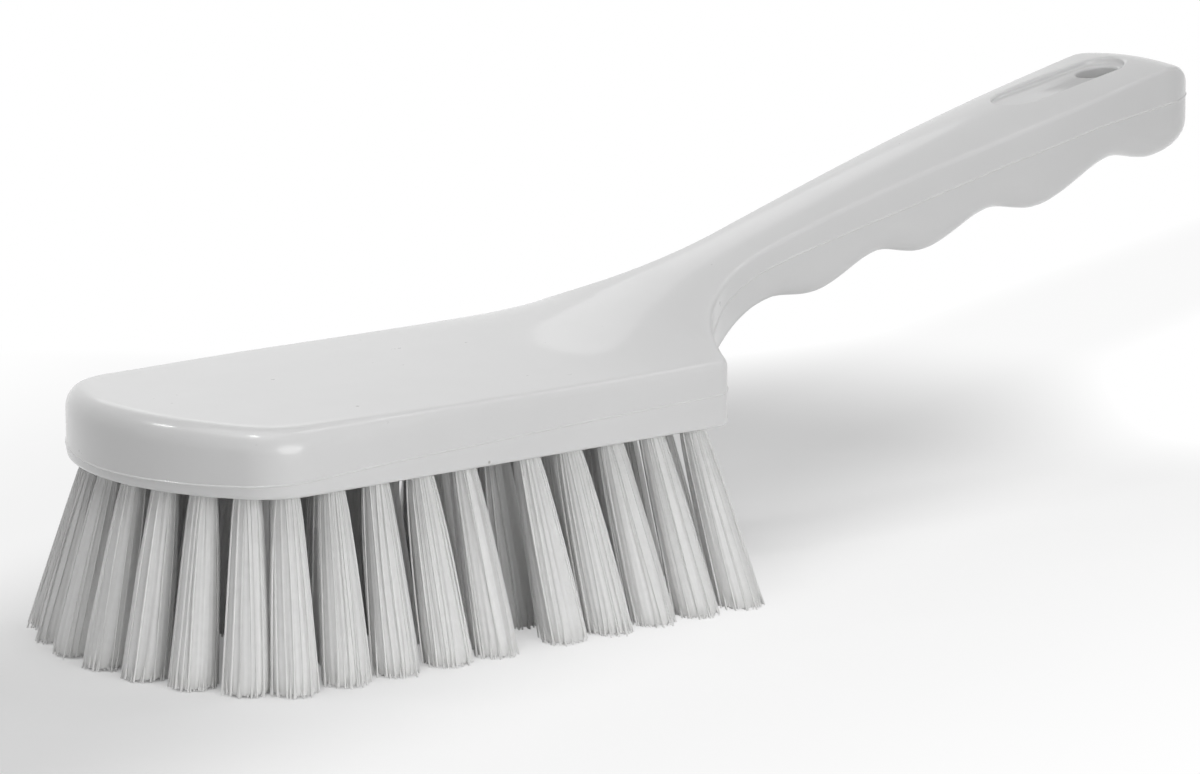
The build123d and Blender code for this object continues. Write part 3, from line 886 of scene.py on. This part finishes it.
class BrushTuftSettings(bpy.types.PropertyGroup):
    filaments: IntProperty(name="Filaments", description="Filaments in each tuft", default=130, min=7)
    filament_diameter: length("Filament diameter", "Diameter of one filament", 0.36 * MM, 5)
    root_spread: length("Root spread", "Radius of a tuft at its hole", 2.2 * MM, 5)
    tip_spread: length("Tip spread", "Radius of a tuft at its tips", 4.6 * MM, 5)
    bow: length("Bow", "How far filaments bow sideways", 0.22 * MM, 5)
    heart_share: FloatProperty(
        name="Packed share", description="Share of a tuft's radius that is packed solid",
        default=0.98, min=0.1, max=1,
    )
    heart_lift: length("Packed lift", "How far the packed middle ends above the tips", 3.0 * MM)
    hole_diameter: length("Tuft hole diameter", "Drilled hole that takes a tuft", 4.6 * MM)
    seed: IntProperty(name="Seed", description="Start of the random spread", default=11)
    colour: tint("Filament colour", "Colour of the filaments", "#FCFCFB")


class BrushAnchorSettings(bpy.types.PropertyGroup):
    colour: tint("Wire colour", "Colour of the flat anchor wire", "#C3C6C8")


class BrushStageSettings(bpy.types.PropertyGroup):
    azimuth: FloatProperty(
        name="Azimuth", description="Camera turn towards the nose",
        default=math.radians(37.89), subtype="ANGLE",
    )
    elevation: FloatProperty(
        name="Elevation", description="Camera height angle", default=math.radians(11.5), subtype="ANGLE",
    )
    roll: FloatProperty(
        name="Roll", description="Camera roll", default=math.radians(-0.38), subtype="ANGLE",
    )
    distance: length("Distance", "Camera distance from its aim", 1.07683)
    lens: FloatProperty(
        name="Lens", description="Focal length on a 36 mm wide sensor", default=165.0, unit="CAMERA",
    )
    floor_colour: tint("Floor colour", "Colour of the paper floor", "#FBFBFB")
    sky: FloatProperty(name="Fill", description="Strength of the even light all round", default=0.18)


class BRUSH_OT_moulding(bpy.types.Operator):
    """Builds the block, neck and handle with their recess, hanging hole and drilled tuft holes"""

    bl_idname = "brush.moulding"
    bl_label = "Moulding"

    def execute(self, context):
        settings = context.scene.brush_moulding
        surface = moulding_surface(settings)
        rows, columns = surface.shape[:2]
        points = np.vstack([surface.reshape(-1, 3), (surface * (1, -1, 1)).reshape(-1, 3)])
        faces = grid_faces(rows, columns)
        faces = np.vstack([faces, faces[:, ::-1] + rows * columns])
        body = mesh_object("moulded_block_and_handle", points, faces.tolist())
        close_up(body)
        cut(body, recess_cutter())
        cut(body, hanging_hole_cutter(settings.hole_diameter / MM))
        cut(body, tuft_holes_cutter(context.scene.brush_tufts.hole_diameter / MM))
        soften(body, degrees=32)
        body.data.materials.clear()
        body.data.materials.append(moulded_polypropylene(settings.colour))
        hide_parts("block_and_handle")
        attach(body, "root")
        return {"FINISHED"}


class BRUSH_OT_tufts(bpy.types.Operator):
    """Builds every tuft of filaments in its own hole"""

    bl_idname = "brush.tufts"
    bl_label = "Tufts"

    def execute(self, context):
        settings = context.scene.brush_tufts
        material = polyester_filament(settings.colour)
        rng = np.random.default_rng(settings.seed)
        for node, (x, y) in tuft_places().items():
            points, faces = tuft_surface(x, y, settings, rng)
            tuft = mesh_object(node.replace("tuft", "filaments"), points, faces)
            soften(tuft, degrees=60)
            tuft.data.materials.append(material)
            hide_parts(node)
            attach(tuft, "root")
        return {"FINISHED"}


class BRUSH_OT_anchors(bpy.types.Operator):
    """Gives the flat wire anchors their plated steel"""

    bl_idname = "brush.anchors"
    bl_label = "Anchors"

    def execute(self, context):
        material = plated_steel_wire(context.scene.brush_anchors.colour)
        for slot in bpy.data.objects["anchors"].material_slots:
            slot.material = material
        return {"FINISHED"}


def lay_floor(settings):
    """One large square face under the tips."""
    corners = FLOOR_HALF * np.array([[-1, -1, 0], [1, -1, 0], [1, 1, 0], [-1, 1, 0]])
    floor = mesh_object("floor", corners, [[0, 1, 2, 3]])
    floor.data.materials.append(paper_floor(settings.floor_colour))


def set_camera(context, settings):
    """The camera stands back from its aim along the azimuth and elevation, and is then rolled."""
    a, e, r = settings.azimuth, settings.elevation, settings.roll
    back = Vector((-math.sin(a) * math.cos(e), -math.cos(a) * math.cos(e), math.sin(e)))
    level = Vector((math.cos(a), -math.sin(a), 0))
    up = back.cross(level)
    right = math.cos(r) * level + math.sin(r) * up
    above = back.cross(right)
    x, y, z = CAMERA_AIM
    aim = Vector(((x + NOSE_AT) * MM, y * MM, z * MM))
    lens = bpy.data.cameras.new("camera")
    lens.lens = settings.lens
    lens.sensor_width = SENSOR_WIDTH
    lens.sensor_fit = "HORIZONTAL"
    lens.clip_start = 0.05
    lens.clip_end = 30.0
    camera = bpy.data.objects.new("camera", lens)
    context.scene.collection.objects.link(camera)
    turn = Matrix((right, above, back)).transposed().to_4x4()
    camera.matrix_world = Matrix.Translation(aim + back * settings.distance) @ turn
    context.scene.camera = camera


def hang_lamps(context):
    """Oval studio lamps that all face the brush."""
    for name, place, width, depth, power in LAMPS:
        light = bpy.data.lights.new(name, "AREA")
        light.shape = "ELLIPSE"
        light.size = width
        light.size_y = depth
        light.energy = power
        lamp = bpy.data.objects.new(name, light)
        lamp.location = place
        lamp.rotation_euler = (LAMP_AIM - Vector(place)).to_track_quat("-Z", "Y").to_euler()
        context.scene.collection.objects.link(lamp)


def light_room(context, settings):
    """An even light all round, which the camera sees as plain white."""
    world = bpy.data.worlds.new("studio")
    context.scene.world = world
    world.use_nodes = True
    tree = world.node_tree
    tree.nodes.clear()
    room = add(tree, "ShaderNodeBackground", Color=linear("#FFFFFF"), Strength=settings.sky)
    white = add(tree, "ShaderNodeBackground", Color=linear("#FFFFFF"), Strength=1.0)
    mix = add(
        tree, "ShaderNodeMixShader",
        i0=seen(tree), i1=room.outputs["Background"], i2=white.outputs["Background"],
    )
    add(tree, "ShaderNodeOutputWorld", Surface=mix.outputs["Shader"])


class BRUSH_OT_stage(bpy.types.Operator):
    """Lays the paper floor and sets the camera and the studio lamps"""

    bl_idname = "brush.stage"
    bl_label = "Stage"

    def execute(self, context):
        settings = context.scene.brush_stage
        lay_floor(settings)
        set_camera(context, settings)
        hang_lamps(context)
        light_room(context, settings)
        context.scene.view_settings.view_transform = "Standard"
        return {"FINISHED"}


class BRUSH_PT_panel(bpy.types.Panel):
    """Lists the brush's pieces and the sizes that can be changed"""

    bl_label = "Scrub brush"
    bl_idname = "BRUSH_PT_panel"
    bl_space_type = "VIEW_3D"
    bl_region_type = "UI"
    bl_category = "Brush"

    def draw(self, context):
        for operator, group, _ in STEPS:
            box = self.layout.box()
            box.operator(operator.bl_idname)
            values = getattr(context.scene, group)
            for name in values.bl_rna.properties.keys():
                if name not in ("rna_type", "name"):
                    box.prop(values, name)


STEPS = (
    (BRUSH_OT_moulding, "brush_moulding", BrushMouldingSettings),
    (BRUSH_OT_tufts, "brush_tufts", BrushTuftSettings),
    (BRUSH_OT_anchors, "brush_anchors", BrushAnchorSettings),
    (BRUSH_OT_stage, "brush_stage", BrushStageSettings),
)


def register():
    for operator, group, settings in STEPS:
        bpy.utils.register_class(settings)
        setattr(bpy.types.Scene, group, PointerProperty(type=settings))
        bpy.utils.register_class(operator)
    bpy.utils.register_class(BRUSH_PT_panel)


def unregister():
    bpy.utils.unregister_class(BRUSH_PT_panel)
    for operator, group, settings in reversed(STEPS):
        bpy.utils.unregister_class(operator)
        delattr(bpy.types.Scene, group)
        bpy.utils.unregister_class(settings)


def main():
    register()
    bpy.ops.brush.moulding()
    bpy.ops.brush.tufts()
    bpy.ops.brush.anchors()
    bpy.ops.brush.stage()


if __name__ == "__main__":
    main()
